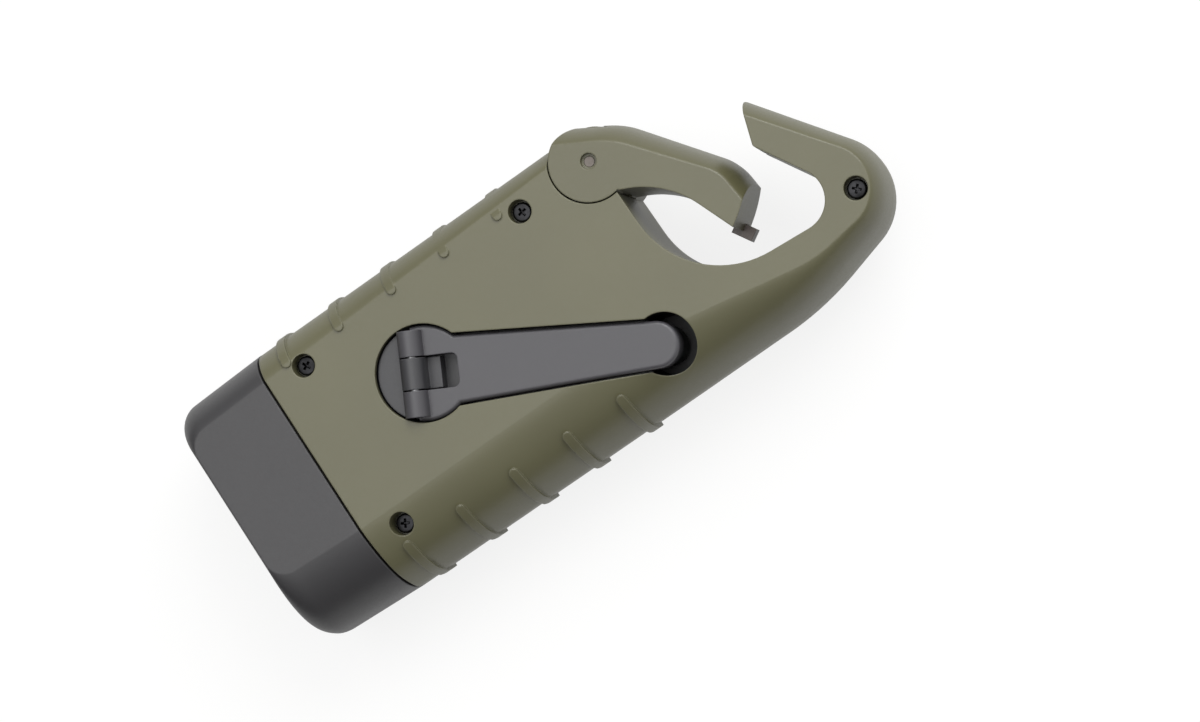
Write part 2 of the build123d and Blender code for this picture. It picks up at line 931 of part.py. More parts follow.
def leds():
    """Three round lamps with a flange and a domed end."""
    lamps = []
    for y in led_places():
        base = Plane(origin=(led_board_front, y, optic_height), x_dir=(0, 1, 0), z_dir=(1, 0, 0))
        lamp = extrude(base * Circle(led_radius + led_flange / 2), led_flange)
        lamp += extrude(base * Circle(led_radius), led_length)
        lamp += Pos(led_board_front + led_length, y, optic_height) * Sphere(led_radius)
        lamps.append(lamp)
    return lamps


# ---- crank ----
def crank_disc():
    """The hub disc with its knuckle and the raised land behind the hinge."""
    disc = drum(0, 0, disc_radius, disc_bottom, disc_top)
    rim = drum(0, 0, disc_radius, disc_bottom, body_height - land_drop)
    land_edge = -hinge_offset - hinge_barrel_radius - fit_clearance
    disc += rim & block((-disc_radius, land_edge), (-disc_radius, disc_radius), (0, body_height))
    knuckle = block(
        (-hinge_offset - knuckle_back, -hinge_offset + knuckle_front),
        (-knuckle_width / 2, knuckle_width / 2),
        (disc_bottom, hinge_height - knuckle_step_drop),
    )
    knuckle += block(
        (-hinge_offset - hinge_barrel_radius, -hinge_offset + hinge_barrel_radius),
        (-knuckle_width / 2, knuckle_width / 2),
        (disc_bottom, hinge_height),
    )
    knuckle += cross_bar(hinge_barrel_radius, -knuckle_width / 2, knuckle_width / 2)
    disc += knuckle
    disc -= cross_bar(hinge_pin_radius + slide_clearance, -hinge_length, hinge_length)
    disc -= drum(0, 0, crank_shaft_radius, 0, disc_bottom + disc_thickness / 2)
    return crank_place * disc


def cross_bar(radius, start, end):
    """A round bar along the crank's hinge axis."""
    bar = Rot(-90, 0, 0) * extrude(Circle(radius), end - start)
    return Pos(-hinge_offset, start, hinge_height) * bar


def crank_arm():
    """The folding arm with two hinge ears and a window between them."""
    inner = knuckle_width / 2 + fit_clearance
    arm = Pos(0, 0, arm_bottom) * extrude(arm_plan(0), arm_thickness)
    flare = drum(0, 0, disc_radius, arm_top - flare_thickness, arm_top)
    arm += flare & block((-hinge_offset, disc_radius), (-disc_radius, disc_radius), (0, 2 * body_height))
    arm = fillet(arm.faces().sort_by(Axis.Z)[-1].edges().sort_by(Axis.X)[1:], arm_edge_round)
    for side in (-1, 1):
        start, end = sorted((side * inner, side * hinge_length / 2))
        arm += cross_bar(hinge_barrel_radius, start, end)
        arm += block(
            (-hinge_offset, hinge_barrel_radius),
            (start, end),
            (arm_bottom + arm_edge_round, arm_top),
        )
    end = -hinge_offset + window_reach
    window = [
        (-body_width, inner, 0),
        (end, inner, window_corner),
        (end, -inner, window_corner),
        (-body_width, -inner, 0),
    ]
    arm -= prism(window, 0, 2 * body_height)
    arm -= cross_bar(hinge_pin_radius, -hinge_length, hinge_length)
    arm -= drum(arm_reach, 0, knob_pin_radius, 0, arm_top - knob_pin_sink)
    return crank_place * arm


def crank_hinge_pin():
    """The pin through the arm's ears and the hub's knuckle."""
    half = hinge_length / 2 - slide_clearance
    return crank_place * cross_bar(hinge_pin_radius, -half, half)


def crank_knob():
    """The knob under the arm's end, free to turn."""
    top = arm_bottom - fit_clearance
    knob = drum(0, 0, knob_radius, knob_bottom, top)
    knob = fillet(knob.edges().filter_by(GeomType.CIRCLE), 0.8)
    knob -= drum(0, 0, knob_pin_radius + slide_clearance, 0, body_height)
    head = knob_bottom + knob_pin_head_height + running_clearance
    knob -= drum(0, 0, knob_pin_head_radius + running_clearance, 0, head + running_clearance)
    return crank_place * Pos(arm_reach, 0, 0) * knob


def knob_pin():
    """The rivet that the knob turns on, fixed in the arm."""
    low = knob_bottom + running_clearance
    pin = drum(0, 0, knob_pin_radius, low, arm_top - knob_pin_sink)
    pin += drum(0, 0, knob_pin_head_radius, low, low + knob_pin_head_height)
    return crank_place * Pos(arm_reach, 0, 0) * pin


def crank_shaft():
    """The shaft from the hub disc down to its post."""
    top = disc_bottom + disc_thickness / 2
    return drum(*hub, crank_shaft_radius, crank_shaft_bottom, top)


def shaft_bush():
    """The plain bearing in the recess floor."""
    return ring(
        *hub,
        bush_radius,
        crank_shaft_radius + slide_clearance,
        hub_floor_height - recess_wall,
        hub_floor_height,
    )


def shaft_clip():
    """The ring that keeps the gear on the shaft."""
    return ring(
        *hub,
        clip_radius,
        crank_shaft_radius,
        crank_gear_bottom - clip_thickness,
        crank_gear_bottom,
    )


def crank_gear():
    """The large gear on the crank shaft."""
    face = gear_face(crank_gear_teeth, first_module, first_axle_direction, False)
    wheel = gear(hub, face, crank_gear_bottom, crank_gear_top)
    return wheel - drum(*hub, crank_shaft_radius, 0, body_height)


def first_gear():
    """The first step-up gear: a pinion over a wheel."""
    pinion = gear_face(first_pinion_teeth, first_module, first_axle_direction + 180, True)
    wheel = gear_face(first_wheel_teeth, second_module, second_axle_direction, False)
    body = gear(first_axle, wheel, wheel_bottom, wheel_top)
    body += gear(first_axle, pinion, wheel_top, crank_gear_top)
    return body - drum(*first_axle, axle_radius + slide_clearance, 0, body_height)


def second_gear():
    """The second step-up gear: a pinion over a wheel."""
    pinion = gear_face(second_pinion_teeth, second_module, second_axle_direction + 180, True)
    wheel = gear_face(second_wheel_teeth, second_module, rotor_direction, False)
    body = gear(second_axle, wheel, rotor_gear_bottom, rotor_gear_top)
    body += gear(second_axle, pinion, rotor_gear_top, wheel_top)
    return body - drum(*second_axle, axle_radius + slide_clearance, 0, body_height)


def rotor_pinion():
    """The small gear on the rotor."""
    face = gear_face(rotor_pinion_teeth, second_module, rotor_direction + 180, True)
    body = gear(rotor_axle, face, rotor_gear_bottom, rotor_gear_top)
    return body - drum(*rotor_axle, rotor_shaft_radius, 0, body_height)


def rotor_magnet():
    """The round magnet that turns in the coil."""
    top = magnet_bottom + magnet_height
    return ring(*rotor_axle, magnet_radius, rotor_shaft_radius, magnet_bottom, top)


def stator_core():
    """The pole ring round the magnet, hollow for its coil."""
    body = ring(*rotor_axle, stator_radius, magnet_radius + air_gap, stator_bottom, stator_top)
    return body - coil_space()


def coil_space():
    """The ring of space that the coil fills."""
    low = stator_bottom + (stator_height - coil_height) / 2
    inner = magnet_radius + air_gap + stator_wall
    return ring(*rotor_axle, stator_radius - stator_wall, inner, low, low + coil_height)


# ---- gate ----
def gate():
    """The spring gate at its photographed, pressed-in place."""
    end = latch_corner()
    out_y = -body_width
    web_x = gate_pivot_x - gate_web_start
    plan = [
        (web_x, gate_pivot_y, 0),
        (*gate_inner_start, 0),
        (*gate_inner_corner, gate_inner_radius),
        (*end, 0),
        (end[0] + tip_slope * (out_y - end[1]), out_y, 0),
        (web_x, out_y, 0),
    ]
    low = parting_height - fit_clearance
    high = lug_top + fit_clearance
    form = prism(plan, gate_bottom, body_height + 1)
    form -= drum(*gate_pivot, lug_radius + gate_gap, low, high)
    form += drum(*gate_pivot, gate_boss_radius, gate_bottom, low)
    form += drum(*gate_pivot, gate_boss_radius, high, body_height + 1)
    form &= outer_solid
    form &= drum(*gate_pivot, gate_reach(), 0, body_height)
    form -= drum(*gate_pivot, gate_pin_radius + slide_clearance, 0, body_height)
    form -= drum(*gate_pivot, gate_pin_hole_radius, body_height - gate_pin_sink, body_height + 1)
    return gate_turn() * (form - latch_block())


def gate_reach():
    """The radius inside which the gate's end swings past the hook's tip."""
    run = gate_pivot_x - tip_inner[0] - tip_slope * (gate_pivot_y - tip_inner[1])
    return run / math.hypot(1, tip_slope) - gate_gap


def gate_turn():
    """The turn about the pivot from closed to the photographed place."""
    there = Pos(gate_pivot_x, gate_pivot_y, 0)
    return there * Rot(0, 0, -gate_open_angle) * there.inverse()


def latch_block():
    """The latch where the gate closes on the hook."""
    x, y = latch_corner()
    turn = math.degrees(math.atan2(y - gate_pivot_y, gate_pivot_x - x))
    low = parting_height - latch_height / 2
    reach = math.hypot(x - gate_pivot_x, y - gate_pivot_y)
    piece = block(
        (-reach - latch_reach, -reach - latch_reach + latch_depth),
        (-latch_width * 0.6, latch_width * 0.4),
        (low, low + latch_height),
    )
    return Pos(gate_pivot_x, gate_pivot_y, 0) * Rot(0, 0, -turn) * piece


def gate_latch():
    """The latch at the gate's photographed place."""
    return gate_turn() * latch_block()


def gate_pin():
    """The pin that the gate swings on."""
    return drum(gate_pivot_x, gate_pivot_y, gate_pin_radius, gate_bottom / 2, body_height - gate_pin_sink)


def spring_length():
    """The height of the gate spring's coils."""
    return spring_turns * (spring_wire + spring_gap) + spring_wire


def gate_spring():
    """A torsion spring round the gate's pin, in half turns."""
    pitch = spring_wire + spring_gap
    low = lug_top - spring_length() + spring_wire / 2
    center = (gate_pivot_x, gate_pivot_y)

    def point(turns):
        angle = 2 * math.pi * turns
        x = center[0] + spring_radius * math.cos(angle)
        return (x, center[1] + spring_radius * math.sin(angle), low + pitch * turns)

    arcs = [
        ThreePointArc(point(step / 2), point(step / 2 + 0.25), point(step / 2 + 0.5))
        for step in range(2 * spring_turns)
    ]
    path = Wire([edge for arc in arcs for edge in arc.edges()])
    start = Plane(origin=path @ 0, z_dir=path % 0)
    return sweep(start * Circle(spring_wire / 2), path)


# ---- fasteners and wires ----
def case_screw(x, y, seat, tip):
    """A sunk cross head screw from the crank side into its post."""
    top = seat + screw_head_height
    screw = drum(x, y, screw_head_radius, seat, top)
    screw += drum(x, y, screw_shank_radius, tip, seat)
    for turn in (0, 90):
        bar = Pos(x, y, top) * Rot(0, 0, turn) * Box(cross_length, cross_width, 2 * cross_depth)
        screw -= bar
    return screw


def wire(*points):
    """A thin insulated wire along straight runs and round bends."""
    path = FilletPolyline(*points, radius=wire_bend)
    start = Plane(origin=path @ 0, z_dir=path % 0)
    return sweep(start * Circle(wire_radius), path)


def led_wires():
    """Two leads from the control board up and forward to the lamp board."""
    top = board_bottom + board_thickness
    end = led_board_front - led_board_thickness
    return [
        wire((x, y, top), (x, y, led_wire_height), (end, y, led_wire_height))
        for x, y in led_wire_places
    ]


def battery_wires():
    """One lead from each end of the cells to the control board."""
    top = board_bottom + board_thickness
    z = battery_height()
    y = battery_wire_y
    plus = battery_x + cell_count * (cell_length + cell_gap) - cell_gap
    turn = battery_landing[0]
    front = wire((plus, y, z), (turn, y, z), (turn, battery_landing[1], z), (*battery_landing, top))
    back_x = battery_x - battery_wire_out
    back = wire(
        (battery_x, y, z),
        (back_x, y, z),
        (back_x, battery_return_y, z),
        (wire_landing_x, battery_return_y, z),
        (wire_landing_x, battery_return_y, top),
    )
    return [front, back]


def coil_wires():
    """Two leads from the pole ring's wall to the control board."""
    top = board_bottom + board_thickness
    start = rotor_axle[0] + stator_radius
    y = rotor_axle[1]
    high, low = coil_wire_heights
    first = wire((start, y, high), (wire_landing_x, y, high), (wire_landing_x, y, top))
    second = wire(
        (start, y, low),
        (coil_wire_step_x, y, low),
        (coil_wire_step_x, coil_return_y, low),
        (wire_landing_x, coil_return_y, low),
        (wire_landing_x, coil_return_y, top),
    )
    return [first, second]


def solar_wires():
    """Two leads from the solar cells through the floor to the control board."""
    top = board_bottom + board_thickness
    leads = []
    for (x, y), landing, height in zip(solar_holes, solar_landings, solar_wire_heights):
        points = ((x, y, solar_recess_depth), (x, y, height), (landing, y, height), (landing, y, top))
        leads.append(wire(*points))
    return leads


def export(name, shapes):
    """Write one node's solids."""
    parts = shapes if isinstance(shapes, (list, tuple)) else [shapes]
    solids = [solid for part in parts for solid in part.solids()]
    node = solids[0] if len(solids) == 1 else Compound(solids)
    export_step(node, f"parts/{name}.step")
    print(name, len(solids), round(sum(solid.volume for solid in solids), 1))


os.makedirs("parts", exist_ok=True)
outer_solid_upper = upper_form()
outer_solid_lower = lower_form()
outer_solid = outer_solid_upper + outer_solid_lower

export("front_shell", front_shell())
export("rear_shell", rear_shell())
export("crank_tray", crank_tray())
export("head_bezel", head_bezel())
export("lens", lens())
export("lens_seal", lens_seal())
export("reflector", reflector())
export("led_board", led_board())
export("leds", leds())
export("control_board", control_board())
export("board_parts", board_parts())
export("board_screws", [board_screw(x, y) for x, y in board_screws()])
export("tact_switch", tact_switch())
export("switch_button", switch_button())
export("solar_panel", solar_panel())
export("solar_window", solar_window())
export("battery_cells", battery_cells())
export("battery_wrap", battery_wrap())
export("crank_disc", crank_disc())
export("crank_shaft", crank_shaft())
export("shaft_bush", shaft_bush())
export("shaft_clip", shaft_clip())
export("crank_arm", crank_arm())
export("crank_hinge_pin", crank_hinge_pin())
export("crank_knob", crank_knob())
export("knob_pin", knob_pin())
export("crank_gear", crank_gear())
export("first_gear", first_gear())
export("second_gear", second_gear())
export("first_axle", drum(*first_axle, axle_radius, axle_bottom, axle_top))
export("second_axle", drum(*second_axle, axle_radius, axle_bottom, axle_top))
export("rotor_shaft", drum(*rotor_axle, rotor_shaft_radius, axle_bottom, rotor_shaft_top))
export("rotor_magnet", rotor_magnet())
export("rotor_pinion", rotor_pinion())
export("stator_core", stator_core())
export("stator_coil", coil_space())
export("gate", gate())
export("gate_latch", gate_latch())
export("gate_pin", gate_pin())
export("gate_spring", gate_spring())
export("case_screws", [case_screw(*screw) for screw in case_screws])
export("led_wires", led_wires())
export("battery_wires", battery_wires())
export("coil_wires", coil_wires())
export("solar_wires", solar_wires())
print("gate spring", spring_turns, "turns, least gap to itself", spring_gap)
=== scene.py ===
"""Hand crank flashlight: finishes, small fasteners, studio and camera."""

import logging
import math
from dataclasses import dataclass, field
from enum import Enum

import bpy
from mathutils import Matrix, Vector


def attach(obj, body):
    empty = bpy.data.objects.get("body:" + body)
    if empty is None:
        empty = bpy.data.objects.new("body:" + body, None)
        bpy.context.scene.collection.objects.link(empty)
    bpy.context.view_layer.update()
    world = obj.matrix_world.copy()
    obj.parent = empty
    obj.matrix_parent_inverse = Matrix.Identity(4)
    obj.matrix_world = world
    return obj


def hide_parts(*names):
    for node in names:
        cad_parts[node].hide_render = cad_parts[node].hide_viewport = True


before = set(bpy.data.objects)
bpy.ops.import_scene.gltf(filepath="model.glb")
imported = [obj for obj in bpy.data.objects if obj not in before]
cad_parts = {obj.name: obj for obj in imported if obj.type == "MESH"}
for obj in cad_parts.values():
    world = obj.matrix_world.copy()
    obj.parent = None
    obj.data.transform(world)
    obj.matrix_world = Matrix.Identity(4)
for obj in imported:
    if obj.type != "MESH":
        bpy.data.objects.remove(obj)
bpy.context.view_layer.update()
LOG = logging.getLogger("flashlight")
MM = 0.001
BEVEL_SAMPLES = 4
# cosines between the true and the rounded normal: on a flat, and on a sharp edge
FLAT_COSINE = 0.995
SHARP_COSINE = 0.85
# height of the relief in metres: moulded grain and lathe lines, and copper tracks
FINE_RELIEF = 0.00003
TRACK_RELIEF = 0.00005
# size of the specks of gloss against the grain
SPECK_RATIO = 1.6
# how much longer than its line_mm a drawn line runs
LINE_RATIO = 6
# a face whose normal's z is below this looks down
LOOKS_DOWN = -0.9


# ---------------------------------------------------------------- colours and nodes


def linear(code: str) -> tuple[float, float, float, float]:
    """Turn an sRGB hex colour into a linear one.

    Args:
        code: six hex digits.

    Returns:
        Red, green, blue and alpha.
    """
    parts = [int(code[i : i + 2], 16) / 255 for i in (0, 2, 4)]
    light = [c / 12.92 if c <= 0.04045 else ((c + 0.055) / 1.055) ** 2.4 for c in parts]
    return (*light, 1.0)


def add(
    tree: bpy.types.NodeTree,
    kind: str,
    sockets: dict[str | int, object] | None = None,
    **settings: object,
) -> bpy.types.Node:
    """Add one node with its settings, socket values and links.

    Args:
        tree: the node tree that gets the node.
        kind: the node's type name.
        sockets: input name or number to a value, or to the output that feeds it.
        **settings: attributes of the node.

    Returns:
        The new node.
    """
    node = tree.nodes.new(kind)
    for name, value in settings.items():
        setattr(node, name, value)
    for name, value in (sockets or {}).items():
        if isinstance(value, bpy.types.NodeSocket):
            tree.links.new(value, node.inputs[name])
        else:
            node.inputs[name].default_value = value
    return node


def ramp(
    tree: bpy.types.NodeTree,
    factor: bpy.types.NodeSocket,
    stops: list[tuple[float, tuple[float, float, float, float]]],
) -> bpy.types.NodeSocket:
    """Map a factor to colours.

    Args:
        tree: the node tree.
        factor: the output that drives the ramp.
        stops: places and linear colours, lowest first.

    Returns:
        The colour output.
    """
    node = add(tree, "ShaderNodeValToRGB", {"Fac": factor})
    points = node.color_ramp.elements
    while len(points) < len(stops):
        points.new(0.5)
    for point, (place, colour) in zip(points, stops):
        point.position = place
        point.color = colour
    return node.outputs["Color"]


def grey(value: float) -> tuple[float, float, float, float]:
    """A grey with full alpha."""
    return (value, value, value, 1.0)


def new_material(name: str) -> tuple[bpy.types.Material, bpy.types.NodeTree, bpy.types.Node]:
    """Make an empty material with a principled shader.

    Args:
        name: the material's name.

    Returns:
        The material, its node tree and its shader.
    """
    material = bpy.data.materials.new(name)
    material.use_nodes = True
    tree = material.node_tree
    tree.nodes.clear()
    shader = add(tree, "ShaderNodeBsdfPrincipled")
    add(tree, "ShaderNodeOutputMaterial", {"Surface": shader.outputs["BSDF"]})
    return material, tree, shader


def object_place(tree: bpy.types.NodeTree) -> bpy.types.NodeSocket:
    """The place on the object, in metres."""
    return add(tree, "ShaderNodeTexCoord").outputs["Object"]


def calculate(
    tree: bpy.types.NodeTree,
    operation: str,
    first: bpy.types.NodeSocket | float,
    second: bpy.types.NodeSocket | float,
) -> bpy.types.NodeSocket:
    """The result of one math node on two values.

    Args:
        tree: the node tree.
        operation: what a math node does with them.
        first: the first value.
        second: the second value.

    Returns:
        The result.
    """
    sockets = {0: first, 1: second}
    return add(tree, "ShaderNodeMath", sockets, operation=operation).outputs["Value"]


def blend(
    tree: bpy.types.NodeTree,
    factor: bpy.types.NodeSocket,
    first: bpy.types.NodeSocket | tuple[float, ...],
    second: bpy.types.NodeSocket | tuple[float, ...],
) -> bpy.types.NodeSocket:
    """Mix two colours.

    Args:
        tree: the node tree.
        factor: the share of the second colour.
        first: the first colour.
        second: the second colour.

    Returns:
        The mixed colour.
    """
    sockets = {"Factor": factor, 6: first, 7: second}
    return add(tree, "ShaderNodeMix", sockets, data_type="RGBA").outputs[2]


def map_range(
    tree: bpy.types.NodeTree,
    value: bpy.types.NodeSocket,
    start: tuple[float, float] = (0.0, 1.0),
    end: tuple[float, float] = (0.0, 1.0),
) -> bpy.types.NodeSocket:
    """Map one range of values onto another and stop at its ends.

    Args:
        tree: the node tree.
        value: the value to map.
        start: the range that it comes from.
        end: the range that it goes to.

    Returns:
        The mapped value.
    """
    sockets = {
        "Value": value,
        "From Min": start[0],
        "From Max": start[1],
        "To Min": end[0],
        "To Max": end[1],
    }
    return add(tree, "ShaderNodeMapRange", sockets).outputs["Result"]


def noise(
    tree: bpy.types.NodeTree,
    place: bpy.types.NodeSocket,
    size_mm: float,
    detail: float,
) -> bpy.types.NodeSocket:
    """Noise whose grains are about a size across.

    Args:
        tree: the node tree.
        place: the coordinates.
        size_mm: grain size in millimetres.
        detail: finer layers on top.

    Returns:
        The noise value from 0 to 1.
    """
    sockets = {"Vector": place, "Scale": 1.0 / (size_mm * MM), "Detail": detail}
    return add(tree, "ShaderNodeTexNoise", sockets).outputs["Fac"]


def rounded_normal(tree: bpy.types.NodeTree, radius_mm: float) -> bpy.types.NodeSocket:
    """The normal with every edge rounded to a radius."""
    sockets = {"Radius": radius_mm * MM}
    bevel = add(tree, "ShaderNodeBevel", sockets, samples=BEVEL_SAMPLES)
    return bevel.outputs["Normal"]


def fine_relief(
    tree: bpy.types.NodeTree,
    height: bpy.types.NodeSocket,
    strength: float,
    edge_mm: float,
) -> bpy.types.NodeSocket:
    """The normal of a fine relief on softly rounded edges.

    Args:
        tree: the node tree.
        height: the relief's height from 0 to 1.
        strength: how strongly it shows.
        edge_mm: radius of the edges in millimetres.

    Returns:
        The normal.
    """
    sockets = {
        "Height": height,
        "Strength": strength,
        "Distance": FINE_RELIEF,
        "Normal": rounded_normal(tree, edge_mm),
    }
    return add(tree, "ShaderNodeBump", sockets).outputs["Normal"]


def edge_mask(tree: bpy.types.NodeTree, radius_mm: float) -> bpy.types.NodeSocket:
    """A mask of the sharp edges, from the angle between the true and the rounded normal.

    Args:
        tree: the node tree.
        radius_mm: how far from an edge the mask reaches.

    Returns:
        1 on an edge and 0 on a flat.
    """
    true = add(tree, "ShaderNodeNewGeometry").outputs["Normal"]
    dot = add(
        tree,
        "ShaderNodeVectorMath",
        {0: rounded_normal(tree, radius_mm), 1: true},
        operation="DOT_PRODUCT",
    )
    return map_range(tree, dot.outputs["Value"], (FLAT_COSINE, SHARP_COSINE))


# ---------------------------------------------------------------- finishes


@dataclass(frozen=True)
class MouldedPlastic:
    """Moulded plastic with a fine spark-eroded grain, and a painted highlight: a lighter
    colour on its edges.

    The grain, about 0.25 mm on the case, breaks up the sheen. Faint, wide mottling comes
    from uneven gloss in the tool and from handling.
    """

    name: str
    colour: str
    edge_highlight_colour: str
    roughness: float
    grain_mm: float
    bump: float
    edge_mm: float
    mottle: float = 0.03
    mottle_mm: float = 22.0
    gloss_spread: float = 0.03
    sheen: float = 0.75

    def build(self) -> bpy.types.Material:
        """Make the material.

        Returns:
            The finished material.
        """
        material, tree, shader = new_material(self.name)
        place = object_place(tree)
        wide = noise(tree, place, self.mottle_mm, detail=2.0)
        fine = noise(tree, place, self.grain_mm, detail=2.0)
        speck = noise(tree, place, self.grain_mm * SPECK_RATIO, detail=1.0)
        middle = linear(self.colour)
        low = tuple(c * (1 - self.mottle) for c in middle[:3]) + (1.0,)
        high = tuple(min(1, c * (1 + self.mottle)) for c in middle[:3]) + (1.0,)
        base = ramp(tree, wide, [(0.35, low), (0.65, high)])
        # painted highlight: the sharp edges turn lighter, in wide patches
        edge_highlight_share = calculate(tree, "MULTIPLY", edge_mask(tree, self.edge_mm), wide)
        colour = blend(tree, edge_highlight_share, base, linear(self.edge_highlight_colour))
        gloss = map_range(
            tree,
            speck,
            start=(0.3, 0.7),
            end=(self.roughness - self.gloss_spread, self.roughness + self.gloss_spread),
        )
        normal = fine_relief(tree, fine, self.bump, self.edge_mm)
        tree.links.new(colour, shader.inputs["Base Color"])
        tree.links.new(gloss, shader.inputs["Roughness"])
        tree.links.new(normal, shader.inputs["Normal"])
        shader.inputs["IOR"].default_value = 1.5
        shader.inputs["Specular IOR Level"].default_value = self.sheen
        return material


@dataclass(frozen=True)
class Metal:
    """Turned, drawn or plated metal with fine lines and a little tarnish."""

    name: str
    colour: str
    tarnish: str
    roughness: float
    line_mm: float = 0.12
    stretch: tuple[float, float, float] = (1.0, 1.0, 14.0)
    edge_mm: float = 0.12
    tarnish_mm: float = 3.0
    smoother: float = 0.08
    rougher: float = 0.12
    bump: float = 0.15

    def build(self) -> bpy.types.Material:
        """Make the material.

        Returns:
            The finished material.
        """
        material, tree, shader = new_material(self.name)
        place = object_place(tree)
        drawn = add(tree, "ShaderNodeMapping", {"Vector": place, "Scale": self.stretch})
        lines = noise(tree, drawn.outputs["Vector"], self.line_mm * LINE_RATIO, detail=2.0)
        patch = noise(tree, place, self.tarnish_mm, detail=3.0)
        stops = [(0.35, linear(self.colour)), (0.75, linear(self.tarnish))]
        colour = ramp(tree, patch, stops)
        gloss = map_range(
            tree,
            lines,
            end=(self.roughness - self.smoother, self.roughness + self.rougher),
        )
        normal = fine_relief(tree, lines, self.bump, self.edge_mm)
        tree.links.new(colour, shader.inputs["Base Color"])
        tree.links.new(gloss, shader.inputs["Roughness"])
        tree.links.new(normal, shader.inputs["Normal"])
        shader.inputs["Metallic"].default_value = 1.0
        return material


@dataclass(frozen=True)
class ClearPlastic:
    """Clear plastic, polished, with faint scuffs that only catch the light."""

    name: str
    tint: str
    roughness: float
    scuff_mm: float
    scuff_stretch: tuple[float, float, float] = (1.0, 1.0, 9.0)
    scuff_roughness: float = 0.12
    refraction: float = 1.45

    def build(self) -> bpy.types.Material:
        """Make the material.

        Returns:
            The finished material.
        """
        material, tree, shader = new_material(self.name)
        place = object_place(tree)
        sockets = {"Vector": place, "Scale": self.scuff_stretch}
        drawn = add(tree, "ShaderNodeMapping", sockets)
        scuff = noise(tree, drawn.outputs["Vector"], self.scuff_mm, detail=4.0)
        gloss = map_range(
            tree,
            scuff,
            start=(0.55, 0.75),
            end=(self.roughness, self.roughness + self.scuff_roughness),
        )
        tree.links.new(gloss, shader.inputs["Roughness"])
        shader.inputs["Base Color"].default_value = linear(self.tint)
        shader.inputs["Transmission Weight"].default_value = 1.0
        shader.inputs["IOR"].default_value = self.refraction
        return material


@dataclass(frozen=True)
class SolarCell:
    """Blue-black silicon strips with pale collector lines and crystal sheen."""

    name: str = "laminated_silicon_cells"
    silicon: tuple[str, str] = ("0c1024", "141c3c")
    collector: str = "8d9098"
    crystal_mm: float = 3.0
    strip_mm: float = 6.8
    strip_gap: float = 0.045
    line_mm: float = 1.7
    line_width: float = 0.07

    def build(self) -> bpy.types.Material:
        """Make the material.

        Returns:
            The finished material.
        """
        material, tree, shader = new_material(self.name)
        place = object_place(tree)
        split = add(tree, "ShaderNodeSeparateXYZ", {"Vector": place})
        grain = add(
            tree,
            "ShaderNodeTexVoronoi",
            {"Vector": place, "Scale": 1 / (self.crystal_mm * MM)},
        )
        stops = [(0.0, linear(self.silicon[0])), (0.7, linear(self.silicon[1]))]
        colour = ramp(tree, grain.outputs["Distance"], stops)
        sets = (
            ("X", self.strip_mm, self.strip_gap),
            ("Y", self.line_mm, self.line_width),
        )
        for axis, pitch, width in sets:
            wave = calculate(tree, "PINGPONG", split.outputs[axis], pitch * MM)
            line = calculate(tree, "LESS_THAN", wave, pitch * MM * width)
            colour = blend(tree, line, colour, linear(self.collector))
        tree.links.new(colour, shader.inputs["Base Color"])
        shader.inputs["Roughness"].default_value = 0.2
        shader.inputs["Coat Weight"].default_value = 0.5
        return material


@dataclass(frozen=True)
class CircuitBoard:
    """Glass-fibre board under solder mask, with raised copper tracks."""

    name: str
    mask: str
    track: str
    track_mm: float

    def build(self) -> bpy.types.Material:
        """Make the material.

        Returns:
            The finished material.
        """
        material, tree, shader = new_material(self.name)
        place = object_place(tree)
        tracks = add(
            tree,
            "ShaderNodeTexVoronoi",
            {"Vector": place, "Scale": 1 / (self.track_mm * MM)},
            distance="CHEBYCHEV",
            feature="F1",
        )
        mask = linear(self.mask)
        stops = [(0.36, mask), (0.42, linear(self.track)), (0.5, mask)]
        colour = ramp(tree, tracks.outputs["Distance"], stops)
        bump = add(
            tree,
            "ShaderNodeBump",
            {
                "Height": tracks.outputs["Distance"],
                "Strength": 0.2,
                "Distance": TRACK_RELIEF,
            },
        )
        tree.links.new(colour, shader.inputs["Base Color"])
        tree.links.new(bump.outputs["Normal"], shader.inputs["Normal"])
        shader.inputs["Roughness"].default_value = 0.35
        return material
